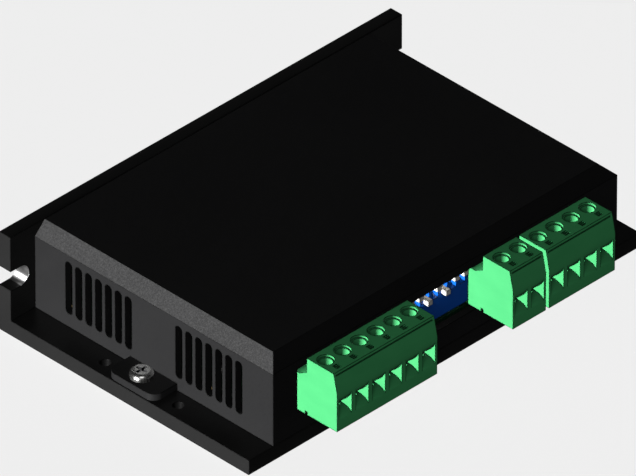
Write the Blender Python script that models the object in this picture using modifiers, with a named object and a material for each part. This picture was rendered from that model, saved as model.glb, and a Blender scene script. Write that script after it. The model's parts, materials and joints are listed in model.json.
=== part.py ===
"""Stepper driver module: a PCB under a chamfered black cover on an L-shaped heatsink,
with three pluggable screw terminals and an eight-position DIP switch along its front.

Frame: X along the length, the connectors face -Y, the heatsink wall stands at +Y, and
the origin is the centre of the heatsink's bottom face. Units are metres, +Z up.
"""

import math

import bmesh
import bpy
from mathutils import Matrix, Vector

MM = 0.001
SMALL = 0.1 * MM  # clearance between pieces that rest on each other
MERGE = 0.01 * MM

# Heatsink extrusion
BASE_LENGTH = 118.0 * MM
BASE_DEPTH = 75.5 * MM
PLATE = 3.85 * MM
WALL = 3.65 * MM
HEIGHT = 25.5 * MM
EASED_EDGE = 0.3 * MM
SLOT_SPACING = 112.0 * MM
SLOT_Z = 14.1 * MM
SLOT_WIDTH = 4.9 * MM
EAR_Y = -1.85 * MM
EAR_SCREW_X = 55.43 * MM
TAPPED_OFFSET = 11.0 * MM
TAPPED_RADIUS = 1.25 * MM
FRONT = -BASE_DEPTH / 2
WALL_FACE = BASE_DEPTH / 2 - WALL

# Cover
COVER_LENGTH = 103.7 * MM
COVER_WALL = 1.8 * MM
CHAMFER = 3.0 * MM
EAR_WIDTH = 14.2 * MM
EAR_THICKNESS = 1.9 * MM
EAR_REACH = BASE_LENGTH / 2 - 0.15 * MM
EAR_CORNER = 2.4 * MM
VENT_WIDTH = 2.0 * MM
VENT_HEIGHT = 13.5 * MM
VENT_PITCH = 3.0 * MM
VENTS_IN_GROUP = 7
VENT_GROUP = 16.6 * MM
VENT_Z = 14.05 * MM
WINDOW = (-44.6 * MM, 40.1 * MM)
WINDOW_Z = (9.1 * MM, 20.3 * MM)

# Circuit board and what holds it
PCB_TOP = 9.3 * MM
PCB_THICKNESS = 1.6 * MM
PCB_X = 49.5 * MM
PCB_Y = (FRONT + 2.4 * MM, WALL_FACE - 0.7 * MM)
STANDOFFS = [(sx * 44.5 * MM, y) for y in (-15.5 * MM, 28.5 * MM) for sx in (-1, 1)]
FIXING_RADIUS = 1.2 * MM
FIXING_HOLE = 1.4 * MM

# Pluggable terminals: start along X and number of ways
PITCH = 5.0 * MM
TERMINALS = {"6way": (-44.1 * MM, 6), "2way": (8.7 * MM, 2), "4way": (19.65 * MM, 4)}
PLUG_Z = 9.45 * MM
PLUG_HEIGHT = 14.6 * MM
PLUG_REACH = 11.3 * MM
PLUG_BACK = 2.1 * MM  # how far behind the cover's front the plug's shoulder stands
CHAMBER_WIDTH = 4.0 * MM
CHAMBER = (3.4 * MM, 7.4 * MM)  # its back and front, ahead of the cover
CHAMBER_Z = (0.9 * MM, 9.3 * MM)  # above the plug's bottom
SCREW_AHEAD = 5.4 * MM
SCREW_HOLE = 1.9 * MM
SCREW_SEAT = 10.2 * MM  # height of the ledge that the clamp screw's head turns on
HEAD_RADIUS = 1.75 * MM
HEAD_HEIGHT = 1.5 * MM
SHANK_RADIUS = 1.2 * MM
SHANK_LENGTH = 4.4 * MM
CAGE_SIZE = Vector((3.7, 3.7, 6.0)) * MM
CAGE_REST = 1.0 * MM  # height of the open cage above the plug's bottom
NOSE_END = 9.5 * MM
NOSE_Z = (1.2 * MM, 8.0 * MM)
PIN_Z = 3.85 * MM
PIN_SIZE = 1.0 * MM
HEADER_DEPTH = (2.25 * MM, 14.0 * MM)
HEADER_Z = (9.35 * MM, 18.55 * MM)
PIN_LEG = 14.8 * MM

# DIP switch
DIP_X = (-13.8 * MM, 8.4 * MM)
DIP_FACE = 1.9 * MM
DIP_DEPTH = 6.0 * MM
DIP_Z = (10.55 * MM, 20.55 * MM)
DIP_PITCH = 2.71 * MM
DIP_LAST = 6.8 * MM
DIP_SLOT_Z = (16.0 * MM, 19.8 * MM)
DIP_UP = 19.05 * MM
DIP_DOWN = 16.7 * MM
DIP_ON = (False, True, True, False, True, False, True, True)
DIP_LEGS = (3.3 * MM, 6.3 * MM)

COLOURS = {  # base colour, roughness, metallic
    "anodised_black": ((0.018, 0.018, 0.020), 0.45, 0.6),
    "cover_black": ((0.015, 0.015, 0.016), 0.5, 0.0),
    "terminal_green": ((0.05, 0.42, 0.16), 0.4, 0.0),
    "dip_blue": ((0.01, 0.12, 0.42), 0.4, 0.0),
    "slider_white": ((0.85, 0.85, 0.82), 0.4, 0.0),
    "zinc_steel": ((0.62, 0.62, 0.60), 0.3, 1.0),
    "cage_nickel": ((0.70, 0.68, 0.62), 0.3, 1.0),
    "brass": ((0.75, 0.58, 0.28), 0.35, 1.0),
    "pcb_green": ((0.02, 0.16, 0.07), 0.5, 0.0),
    "chip_black": ((0.02, 0.02, 0.02), 0.5, 0.0),
    "can_sleeve": ((0.03, 0.03, 0.05), 0.35, 0.0),
    "pad_grey": ((0.42, 0.46, 0.50), 0.8, 0.0),
}


def clear_scene():
    for obj in list(bpy.data.objects):
        bpy.data.objects.remove(obj, do_unlink=True)


def collection(name):
    group = bpy.data.collections.new(name)
    bpy.context.scene.collection.children.link(group)
    return group


def principled(name):
    colour, roughness, metallic = COLOURS[name]
    material = bpy.data.materials.new(name)
    material.use_nodes = True
    shader = material.node_tree.nodes["Principled BSDF"]
    shader.inputs["Base Color"].default_value = (*colour, 1.0)
    shader.inputs["Roughness"].default_value = roughness
    shader.inputs["Metallic"].default_value = metallic
    return material


# --- Shapes. Each returns a function that adds its solid to a bmesh. ---


def box(low, high):
    """A cuboid from its lowest to its highest corner."""
    low, high = Vector(low), Vector(high)
    place = Matrix.Translation((low + high) / 2) @ Matrix.Diagonal((*(high - low), 1.0))
    return lambda bm: bmesh.ops.create_cube(bm, size=1.0, matrix=place)


def wedge(low, high, back_low, back_high):
    """A cuboid whose far (+Y) end is narrowed to the given X and Z limits."""

    def add(bm):
        corners = box(low, high)(bm)["verts"]
        for corner in corners:
            if corner.co.y > (low[1] + high[1]) / 2:
                corner.co.x = back_low[0] if corner.co.x < (low[0] + high[0]) / 2 else back_high[0]
                corner.co.z = back_low[1] if corner.co.z < (low[2] + high[2]) / 2 else back_high[1]

    return add


def rod(base, axis, length, radius, segments=16):
    """A cylinder that starts at base and runs along axis."""
    direction = Vector(axis).normalized()
    turn = direction.to_track_quat("Z", "Y").to_matrix().to_4x4()
    place = Matrix.Translation(Vector(base) + direction * length / 2) @ turn
    return lambda bm: bmesh.ops.create_cone(
        bm, cap_ends=True, segments=segments, radius1=radius, radius2=radius,
        depth=length, matrix=place,
    )


def chamfered_box(low, high, chamfer):
    """A cuboid with its left, right and front top edges chamfered, and its back one sharp."""

    def add(bm):
        corners = box(low, high)(bm)["verts"]
        edges = {edge for corner in corners for edge in corner.link_edges}
        top = [e for e in edges if all(v.co.z > high[2] - MERGE for v in e.verts)]
        eased = [e for e in top if not all(v.co.y > high[1] - MERGE for v in e.verts)]
        bmesh.ops.bevel(bm, geom=eased, offset=chamfer, segments=1, affect="EDGES")

    return add


# --- Objects ---


def place_object(name, mesh, group, material, origin):
    obj = bpy.data.objects.new(name, mesh)
    obj.location = origin
    group.objects.link(obj)
    if material is None:
        obj.hide_render = True
        obj.display_type = "WIRE"
    else:
        mesh.materials.append(material)
        mesh.shade_smooth()
        mesh.set_sharp_from_angle(angle=math.radians(30))
    return obj


def solid(name, shapes, group, material=None, origin=(0, 0, 0)):
    """An object made of primitive shapes given in its own coordinates."""
    bm = bmesh.new()
    for add in shapes:
        add(bm)
    mesh = bpy.data.meshes.new(name)
    bm.to_mesh(mesh)
    bm.free()
    return place_object(name, mesh, group, material, origin)


AXES = {  # how an outline's two axes and its extrusion lie in space
    "X": Matrix(((0, 0, 1, 0), (1, 0, 0, 0), (0, 1, 0, 0), (0, 0, 0, 1))),
    "Y": Matrix(((0, 1, 0, 0), (0, 0, 1, 0), (1, 0, 0, 0), (0, 0, 0, 1))),
    "Z": Matrix.Identity(4),
}


def outline_solid(name, outlines, start, end, axis, group, material=None, origin=(0, 0, 0)):
    """Flat closed outlines extruded from start to end along an axis.

    An outline's points are (Y, Z) for axis X, (Z, X) for axis Y and (X, Y) for axis Z.
    """
    curve = bpy.data.curves.new(name, "CURVE")
    curve.dimensions = "2D"
    curve.fill_mode = "BOTH"
    curve.extrude = (end - start) / 2
    for outline in outlines:
        spline = curve.splines.new("POLY")
        spline.points.add(len(outline) - 1)
        for point, (u, v) in zip(spline.points, outline):
            point.co = (u, v, 0, 1)
        spline.use_cyclic_u = True
    draft = bpy.data.objects.new(name + "_outline", curve)
    group.objects.link(draft)
    bpy.context.view_layer.update()
    evaluated = draft.evaluated_get(bpy.context.evaluated_depsgraph_get())
    mesh = bpy.data.meshes.new_from_object(evaluated)
    mesh.name = name
    bpy.data.objects.remove(draft, do_unlink=True)
    mesh.transform(AXES[axis] @ Matrix.Translation((0, 0, (start + end) / 2)))
    bm = bmesh.new()
    bm.from_mesh(mesh)
    bmesh.ops.remove_doubles(bm, verts=bm.verts, dist=MERGE)
    bmesh.ops.recalc_face_normals(bm, faces=bm.faces)
    bm.to_mesh(mesh)
    bm.free()
    mesh.materials.clear()
    return place_object(name, mesh, group, material, origin)


def turned(name, profile, steps, group, material, origin):
    """A profile of (radius, height) points, from top to bottom, turned about Z."""
    mesh = bpy.data.meshes.new(name)
    points = [(radius, 0, height) for radius, height in profile]
    mesh.from_pydata(points, [(i, i + 1) for i in range(len(points) - 1)], [])
    obj = place_object(name, mesh, group, material, origin)
    screw = obj.modifiers.new("turn", "SCREW")
    screw.axis = "Z"
    screw.angle = 2 * math.pi
    screw.steps = screw.render_steps = steps
    screw.use_merge_vertices = True
    screw.merge_threshold = MERGE
    screw.use_smooth_shade = False
    return obj


def boolean(obj, tool, operation):
    modifier = obj.modifiers.new(tool.name, "BOOLEAN")
    modifier.object = tool
    modifier.operation = operation
    modifier.solver = "EXACT"


def cut(obj, name, shapes):
    """Removes primitive shapes, given in obj's coordinates, from obj."""
    boolean(obj, solid(name, shapes, CUTTERS, origin=obj.location), "DIFFERENCE")


def join(obj, name, shapes):
    """Adds primitive shapes, given in obj's coordinates, to obj."""
    boolean(obj, solid(name, shapes, CUTTERS, origin=obj.location), "UNION")


def stadium(centre, length, width, along_first, steps=6):
    """A round-ended slot's outline around centre, longer along its first or second axis."""
    reach, radius = (length - width) / 2, width / 2
    points = []
    for end in (1, -1):
        for step in range(steps + 1):
            angle = math.pi * (step / steps - 0.5)
            u = end * (reach + radius * math.cos(angle))
            v = end * radius * math.sin(angle)
            point = (u, v) if along_first else (-v, u)
            points.append((centre[0] + point[0], centre[1] + point[1]))
    return points


# --- Heatsink, cover and their screws ---


def heatsink_base():
    e = EASED_EDGE
    profile = [
        (FRONT + e, 0), (-FRONT - e, 0), (-FRONT, e), (-FRONT, HEIGHT - e),
        (-FRONT - e, HEIGHT), (WALL_FACE, HEIGHT), (WALL_FACE, PLATE),
        (FRONT + e, PLATE), (FRONT, PLATE - e), (FRONT, e),
    ]
    base = outline_solid(
        "heatsink_base", [profile], -BASE_LENGTH / 2, BASE_LENGTH / 2, "X", PARTS,
        MATERIALS["anodised_black"],
    )
    reach = 4 * SLOT_WIDTH
    centre_x = SLOT_SPACING / 2 + (reach - SLOT_WIDTH) / 2
    slots = [stadium((SLOT_Z, s * centre_x), reach, SLOT_WIDTH, False, 10) for s in (-1, 1)]
    tool = outline_solid("wall_slots", slots, WALL_FACE - MM, -FRONT + MM, "Y", CUTTERS)
    boolean(base, tool, "DIFFERENCE")
    holes = []
    for side in (-1, 1):
        x = side * EAR_SCREW_X
        holes.append(rod((x, EAR_Y, -MM), (0, 0, 1), PLATE + 2 * MM, 1.6 * MM))
        for offset in (-TAPPED_OFFSET, TAPPED_OFFSET):
            start = (x, EAR_Y + offset, -MM)
            holes.append(rod(start, (0, 0, 1), PLATE + 2 * MM, TAPPED_RADIUS))
    for x, y in STANDOFFS:
        holes.append(rod((x, y, PLATE - 2.6 * MM), (0, 0, 1), 4 * MM, FIXING_HOLE, 12))
    cut(base, "plate_holes", holes)


def ear_outline(side):
    """A mounting ear from inside the cover's end wall to its two rounded corners."""
    inner, outer = COVER_LENGTH / 2 - 0.9 * MM, EAR_REACH
    points = [(side * inner, EAR_Y - EAR_WIDTH / 2), (side * inner, EAR_Y + EAR_WIDTH / 2)]
    for sign, first in ((1, 90), (-1, 0)):
        for step in range(6):
            angle = math.radians(first - 18 * step)
            x = outer - EAR_CORNER * (1 - math.cos(angle))
            y = sign * (EAR_WIDTH / 2 - EAR_CORNER) + EAR_CORNER * math.sin(angle)
            points.append((side * x, EAR_Y + y))
    return points


def cover():
    low = Vector((-COVER_LENGTH / 2, FRONT, PLATE + SMALL))
    high = Vector((COVER_LENGTH / 2, WALL_FACE - SMALL, HEIGHT))
    shell = solid("cover", [chamfered_box(low, high, CHAMFER)], PARTS, MATERIALS["cover_black"])
    wall = Vector((COVER_WALL, COVER_WALL, 0))
    room_low = low + wall - Vector((0, 0, MM))
    room_high = high + Vector((-COVER_WALL, MM, -COVER_WALL))
    inner_chamfer = CHAMFER - (2 - math.sqrt(2)) * COVER_WALL
    cut(shell, "cover_room", [chamfered_box(room_low, room_high, inner_chamfer)])
    window_low = (WINDOW[0], FRONT - MM, WINDOW_Z[0])
    window_high = (WINDOW[1], FRONT + COVER_WALL + MM, WINDOW_Z[1])
    cut(shell, "cover_window", [box(window_low, window_high)])
    vents = [
        stadium((EAR_Y + group * VENT_GROUP + i * VENT_PITCH, VENT_Z), VENT_HEIGHT, VENT_WIDTH, False)
        for group in (-1, 1)
        for i in range(-(VENTS_IN_GROUP // 2), VENTS_IN_GROUP // 2 + 1)
    ]
    reach = COVER_LENGTH / 2 + MM
    boolean(shell, outline_solid("vents", vents, -reach, reach, "X", CUTTERS), "DIFFERENCE")
    ears = [ear_outline(-1), ear_outline(1)]
    bottom = PLATE + SMALL
    tool = outline_solid("ears", ears, bottom, PLATE + EAR_THICKNESS, "Z", CUTTERS)
    boolean(shell, tool, "UNION")
    holes = [
        rod((s * EAR_SCREW_X, EAR_Y, PLATE - MM), (0, 0, 1), 4 * MM, 1.7 * MM) for s in (-1, 1)
    ]
    cut(shell, "ear_holes", holes)


def pan_screw(name, origin, head_radius, head_height, shank_radius, length, steps, material):
    """A pan-head screw with a cross recess, its origin under its head."""
    profile = [
        (0, head_height), (0.55 * head_radius, head_height), (0.88 * head_radius, 0.78 * head_height),
        (head_radius, 0.4 * head_height), (head_radius, 0), (shank_radius, 0),
        (shank_radius, 0.3 * MM - length), (shank_radius - 0.3 * MM, -length), (0, -length),
    ]
    screw = turned(name, profile, steps, PARTS, material, origin)
    width, span, depth = 0.14 * head_radius, 0.52 * head_radius, 0.55 * head_height
    for axis, (u, v) in (("x", (span, width)), ("y", (width, span))):
        low, high = (-u, -v, head_height - depth), (u, v, head_height + MM)
        cut(screw, f"{name}_recess_{axis}", [box(low, high)])
    return screw


def cover_screws():
    for side, word in ((-1, "left"), (1, "right")):
        origin = (side * EAR_SCREW_X, EAR_Y, PLATE + EAR_THICKNESS + SMALL)
        pan_screw(
            f"cover_screw_{word}", origin, 2.7 * MM, 1.8 * MM, 1.45 * MM, 5.2 * MM, 20,
            MATERIALS["zinc_steel"],
        )


# --- Circuit board ---


def pcb():
    low = (-PCB_X, PCB_Y[0], PCB_TOP - PCB_THICKNESS)
    board = solid("pcb", [box(low, (PCB_X, PCB_Y[1], PCB_TOP))], PARTS, MATERIALS["pcb_green"])
    under = PCB_TOP - PCB_THICKNESS - MM
    drill = PCB_THICKNESS + 2 * MM
    holes = [rod((x, y, under), (0, 0, 1), drill, FIXING_HOLE, 12) for x, y in STANDOFFS]
    for start, ways in TERMINALS.values():
        for way in range(ways):
            x = start + (way + 0.5) * PITCH
            holes.append(rod((x, FRONT + PIN_LEG, under), (0, 0, 1), drill, 0.9 * MM, 8))
    for x in dip_positions():
        for leg in DIP_LEGS:
            holes.append(rod((x, FRONT + leg, under), (0, 0, 1), drill, 0.45 * MM, 6))
    cut(board, "board_holes", holes)


def standoffs():
    for number, (x, y) in enumerate(STANDOFFS, 1):
        height = PCB_TOP - PCB_THICKNESS - PLATE - 2 * SMALL
        body = rod((0, 0, 0), (0, 0, 1), height, 2.9 * MM, 6)
        name = f"pcb_standoff_{number}"
        spacer = solid(name, [body], PARTS, MATERIALS["brass"], (x, y, PLATE + SMALL))
        hole = rod((0, 0, -MM), (0, 0, 1), height + 2 * MM, FIXING_HOLE, 12)
        cut(spacer, f"{name}_bore", [hole])
        origin = (x, y, PCB_TOP + SMALL)
        pan_screw(
            f"pcb_screw_{number}", origin, 2.3 * MM, 1.5 * MM, FIXING_RADIUS, 7.6 * MM, 12,
            MATERIALS["zinc_steel"],
        )


def capacitors():
    """Two radial electrolytic cans with the groove rolled in near the foot."""
    radius, height = 5.0 * MM, 12.5 * MM
    profile = [
        (0, height), (0.86 * radius, height), (radius, height - 0.6 * MM), (radius, 2.6 * MM),
        (radius - 0.5 * MM, 2.1 * MM), (radius, 1.6 * MM), (radius, 0.3 * MM),
        (radius - 0.4 * MM, 0), (0, 0),
    ]
    for number, x in enumerate((14.0 * MM, 27.0 * MM), 1):
        origin = (x, -8.0 * MM, PCB_TOP + SMALL)
        turned(f"capacitor_{number}", profile, 18, PARTS, MATERIALS["can_sleeve"], origin)


def block(name, centre, size, material, bevel):
    """A board component: a block standing at centre, with its edges eased."""
    half = Vector(size) / 2
    low = Vector((centre[0] - half.x, centre[1] - half.y, centre[2]))
    high = Vector((centre[0] + half.x, centre[1] + half.y, centre[2] + size[2]))
    obj = solid(name, [box(low, high)], PARTS, MATERIALS[material])
    edges = obj.modifiers.new("edges", "BEVEL")
    edges.width = bevel
    edges.segments = 1


def board_components():
    top = PCB_TOP + SMALL
    block("microcontroller", (-28 * MM, 4 * MM, top), (7 * MM, 7 * MM, 1.4 * MM), "chip_black", 0.2 * MM)
    block("optocoupler", (-30 * MM, -14 * MM, top), (6.5 * MM, 4.6 * MM, 2 * MM), "chip_black", 0.2 * MM)
    block("inductor", (2 * MM, 12 * MM, top), (12 * MM, 12 * MM, 7 * MM), "chip_black", 1.2 * MM)
    pad_height = 1.35 * MM
    pad_low = (-14 * MM, -1 * MM, PLATE + SMALL)
    pad_high = (32 * MM, 17 * MM, PLATE + SMALL + pad_height)
    solid("thermal_pad", [box(pad_low, pad_high)], PARTS, MATERIALS["pad_grey"])
    under = PLATE + pad_height + 2 * SMALL
    height = PCB_TOP - PCB_THICKNESS - SMALL - under
    for letter, x in (("a", -3 * MM), ("b", 21 * MM)):
        size = (16 * MM, 13 * MM, height)
        block(f"power_stage_{letter}", (x, 8 * MM, under), size, "chip_black", 0.3 * MM)


# --- Pluggable terminals ---


def header(label, start, ways):
    """The board half: an open-fronted shroud with bent square pins moulded into its back."""
    end = start + ways * PITCH
    front, back = FRONT + HEADER_DEPTH[0], FRONT + HEADER_DEPTH[1]
    name = f"header_{label}"
    shroud = solid(
        name, [box((start, front, HEADER_Z[0]), (end, back, HEADER_Z[1]))], PARTS,
        MATERIALS["terminal_green"],
    )
    side, gap = 0.85 * MM, 0.15 * MM
    low = (start + side, front - MM, PLUG_Z + NOSE_Z[0] - gap)
    high = (end - side, back - 2 * MM, PLUG_Z + NOSE_Z[1] + gap)
    cut(shroud, f"{name}_cavity", [box(low, high)])
    half = PIN_SIZE / 2
    pins, legs = [], []
    for way in range(ways):
        x = start + (way + 0.5) * PITCH
        z, leg = PLUG_Z + PIN_Z, FRONT + PIN_LEG
        pins.append(box((x - half, FRONT + 3.6 * MM, z - half), (x + half, leg + half, z + half)))
        legs.append(box((x - half, leg - half, 6.4 * MM), (x + half, leg + half, z)))
    join(shroud, f"{name}_pins", pins)
    join(shroud, f"{name}_legs", legs)


def plug_profile():
    """The plug's side view as (Y, Z) around its origin, from the front bottom corner up."""
    ahead_height = [
        (PLUG_REACH, 0), (2.45 * MM, 0), (2.45 * MM, 0.8 * MM), (1.75 * MM, 0.8 * MM),
        (1.75 * MM, 0), (-PLUG_BACK, 0), (-PLUG_BACK, 9.7 * MM), (0, 9.7 * MM),
        (2.2 * MM, 10.95 * MM), (2.3 * MM, PLUG_HEIGHT), (PLUG_REACH - 1.04 * MM, PLUG_HEIGHT),
        (PLUG_REACH, 9.8 * MM),
    ]
    return [(-ahead, height) for ahead, height in ahead_height]


def plug(label, start, ways):
    """The wiring half: its origin is on the cover's front plane at its own lower left corner."""
    length = ways * PITCH
    name = f"plug_{label}"
    body = outline_solid(
        name, [plug_profile()], 0, length, "X", PARTS, MATERIALS["terminal_green"],
        (start, FRONT, PLUG_Z),
    )
    nose_low = (MM, PLUG_BACK - 0.3 * MM, NOSE_Z[0])
    join(body, f"{name}_nose", [box(nose_low, (length - MM, NOSE_END, NOSE_Z[1]))])
    chambers, seats, shanks, entries, passages, sockets, tests = ([] for _ in range(7))
    for way in range(ways):
        x = (way + 0.5) * PITCH
        half = CHAMBER_WIDTH / 2
        seat = (x, -SCREW_AHEAD, SCREW_SEAT)
        chambers.append(box((x - half, -CHAMBER[1], CHAMBER_Z[0]), (x + half, -CHAMBER[0], CHAMBER_Z[1])))
        seats.append(rod(seat, (0, 0, 1), PLUG_HEIGHT, SCREW_HOLE, 18))
        shanks.append(rod((x, -SCREW_AHEAD, 8 * MM), (0, 0, 1), 3 * MM, SHANK_RADIUS + 0.15 * MM, 12))
        entries.append(wedge(
            (x - 1.9 * MM, -PLUG_REACH - 0.4 * MM, 2.5 * MM), (x + 1.9 * MM, -8.1 * MM, 9.05 * MM),
            (x - 1.9 * MM, 3.3 * MM), (x + 1.9 * MM, 4.9 * MM),
        ))
        passages.append(box((x - 1.2 * MM, -8.6 * MM, 3.3 * MM), (x + 1.2 * MM, -6 * MM, 4.9 * MM)))
        room = 0.65 * MM
        socket_low = (x - room, -CHAMBER[0] - MM, PIN_Z - room)
        sockets.append(box(socket_low, (x + room, NOSE_END + MM, PIN_Z + room)))
        tests.append(box((x - 0.8 * MM, -9.3 * MM, 13.9 * MM), (x + 0.8 * MM, -7.7 * MM, 16 * MM)))
    cuts = {
        "chambers": chambers, "seats": seats, "shanks": shanks, "entries": entries,
        "passages": passages, "sockets": sockets, "tests": tests,
    }
    for kind, shapes in cuts.items():
        cut(body, f"{name}_{kind}", shapes)


def clamp(number, x):
    """A captive screw that turns in the plug, and the cage that rises on it."""
    place = (x, FRONT - SCREW_AHEAD, PLUG_Z + SCREW_SEAT + 0.05 * MM)
    profile = [
        (0, HEAD_HEIGHT), (HEAD_RADIUS, HEAD_HEIGHT), (HEAD_RADIUS, 0), (SHANK_RADIUS, 0),
        (SHANK_RADIUS, -SHANK_LENGTH), (0, -SHANK_LENGTH),
    ]
    name = f"clamp_screw_{number:02d}"
    screw = turned(name, profile, 12, PARTS, MATERIALS["zinc_steel"], place)
    slot = box((-2 * MM, -0.28 * MM, HEAD_HEIGHT - 0.8 * MM), (2 * MM, 0.28 * MM, 3 * MM))
    cut(screw, f"{name}_slot", [slot])

    place = (x, FRONT - SCREW_AHEAD, PLUG_Z + CAGE_REST)
    name = f"clamp_cage_{number:02d}"
    wide, deep, tall = CAGE_SIZE
    cage = solid(
        name, [box((-wide / 2, -deep / 2, 0), (wide / 2, deep / 2, tall))], PARTS,
        MATERIALS["cage_nickel"], place,
    )
    opening = box((-1.35 * MM, -deep, 0.7 * MM), (1.35 * MM, deep, tall - 1.3 * MM))
    cut(cage, f"{name}_opening", [opening])
    thread = rod((0, 0, tall - 2 * MM), (0, 0, 1), 3 * MM, SHANK_RADIUS + 0.15 * MM, 12)
    cut(cage, f"{name}_thread", [thread])


def terminals():
    number = 0
    for label, (start, ways) in TERMINALS.items():
        header(label, start, ways)
        plug(label, start, ways)
        for way in range(ways):
            number += 1
            clamp(number, start + (way + 0.5) * PITCH)


# --- DIP switch ---


def dip_positions():
    return [DIP_LAST - DIP_PITCH * (7 - position) for position in range(8)]


def dip_switch():
    face = FRONT + DIP_FACE
    low, high = (DIP_X[0], face, DIP_Z[0]), (DIP_X[1], face + DIP_DEPTH, DIP_Z[1])
    body = solid("dip_switch_body", [box(low, high)], PARTS, MATERIALS["dip_blue"])
    slots, pockets, legs = [], [], []
    for x in dip_positions():
        bottom, top = DIP_SLOT_Z
        slots.append(box((x - 0.8 * MM, face - MM, bottom), (x + 0.8 * MM, face + 1.5 * MM, top)))
        room_low = (x - 1.15 * MM, face + 1.25 * MM, bottom - SMALL)
        pockets.append(box(room_low, (x + 1.15 * MM, face + 2.7 * MM, top + SMALL)))
        for leg in DIP_LEGS:
            centre = FRONT + leg
            foot = (x - 0.25 * MM, centre - 0.15 * MM, 6.7 * MM)
            legs.append(box(foot, (x + 0.25 * MM, centre + 0.15 * MM, DIP_Z[0] + 0.5 * MM)))
    cut(body, "dip_slots", slots)
    cut(body, "dip_pockets", pockets)
    join(body, "dip_legs", legs)
    for number, (x, on) in enumerate(zip(dip_positions(), DIP_ON), 1):
        name = f"dip_slider_{number}"
        flange = box((-MM, 1.35 * MM, -0.72 * MM), (MM, 2.55 * MM, 0.72 * MM))
        origin = (x, face, DIP_UP if on else DIP_DOWN)
        slider = solid(name, [flange], PARTS, MATERIALS["slider_white"], origin)
        tip = box((-0.68 * MM, -1.25 * MM, -0.62 * MM), (0.68 * MM, 1.7 * MM, 0.62 * MM))
        join(slider, f"{name}_tip", [tip])


clear_scene()
PARTS = collection("stepper_driver_module")
CUTTERS = collection("cutters")
CUTTERS.hide_render = True
MATERIALS = {name: principled(name) for name in COLOURS}

heatsink_base()
cover()
cover_screws()
pcb()
standoffs()
capacitors()
board_components()
terminals()
dip_switch()
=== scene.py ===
"""The looks of the stepper driver module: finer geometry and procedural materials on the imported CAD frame.

Lengths are in millimetres, and MM turns them into metres where Blender needs them.
"""
import json
import math

import bmesh
import bpy
from mathutils import Matrix, Vector

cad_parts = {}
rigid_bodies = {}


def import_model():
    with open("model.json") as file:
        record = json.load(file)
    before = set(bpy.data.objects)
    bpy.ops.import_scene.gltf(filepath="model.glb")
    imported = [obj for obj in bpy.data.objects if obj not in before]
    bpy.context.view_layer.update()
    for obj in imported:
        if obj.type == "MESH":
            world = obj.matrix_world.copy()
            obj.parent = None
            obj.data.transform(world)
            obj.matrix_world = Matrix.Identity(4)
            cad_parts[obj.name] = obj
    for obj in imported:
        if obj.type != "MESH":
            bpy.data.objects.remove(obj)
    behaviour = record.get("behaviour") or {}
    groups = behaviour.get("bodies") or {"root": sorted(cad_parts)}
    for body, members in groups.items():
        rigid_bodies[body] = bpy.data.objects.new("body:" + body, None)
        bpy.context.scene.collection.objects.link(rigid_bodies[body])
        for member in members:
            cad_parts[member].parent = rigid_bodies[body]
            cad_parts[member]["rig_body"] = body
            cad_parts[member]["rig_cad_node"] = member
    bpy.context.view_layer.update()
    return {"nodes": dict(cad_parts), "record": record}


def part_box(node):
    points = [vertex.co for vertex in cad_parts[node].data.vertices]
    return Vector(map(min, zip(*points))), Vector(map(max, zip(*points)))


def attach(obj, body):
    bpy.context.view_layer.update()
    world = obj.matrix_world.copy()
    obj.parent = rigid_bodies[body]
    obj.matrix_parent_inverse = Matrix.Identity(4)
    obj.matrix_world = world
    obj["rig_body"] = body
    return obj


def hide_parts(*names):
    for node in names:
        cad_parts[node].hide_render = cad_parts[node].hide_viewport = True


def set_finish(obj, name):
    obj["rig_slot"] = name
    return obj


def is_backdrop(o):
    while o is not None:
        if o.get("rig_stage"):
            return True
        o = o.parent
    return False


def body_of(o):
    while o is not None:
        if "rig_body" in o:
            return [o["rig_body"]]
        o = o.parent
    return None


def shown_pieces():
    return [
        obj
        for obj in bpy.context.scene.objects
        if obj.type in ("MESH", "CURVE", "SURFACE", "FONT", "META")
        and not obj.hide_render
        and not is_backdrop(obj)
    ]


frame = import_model()

MM = 0.001
MERGE = 0.002 * MM  # metres: vertices closer than this are one
NODES = frame["nodes"]
UP = (0, 0, 1)
SIDES = (-1, 1)
ROUND = 40  # segments of a full circle


def low(node):
    """The lowest corner of a CAD node's box."""
    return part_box(node)[0] / MM


def high(node):
    """The highest corner of a CAD node's box."""
    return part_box(node)[1] / MM


# ---------------------------------------------------------------- materials

NOISE_LOW, NOISE_HIGH = 0.3, 0.7  # most of a noise texture's values lie between these
EDGE_DOTS = (0.965, 0.997)  # rounded normal . true normal: fully on an edge, fully off it
BLACK_EDGE_REACH = 0.36
PLASTIC_EDGE_REACH = 0.3
EDGE_BLACK = (0.0005, 0.0005, 0.0005)


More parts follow.
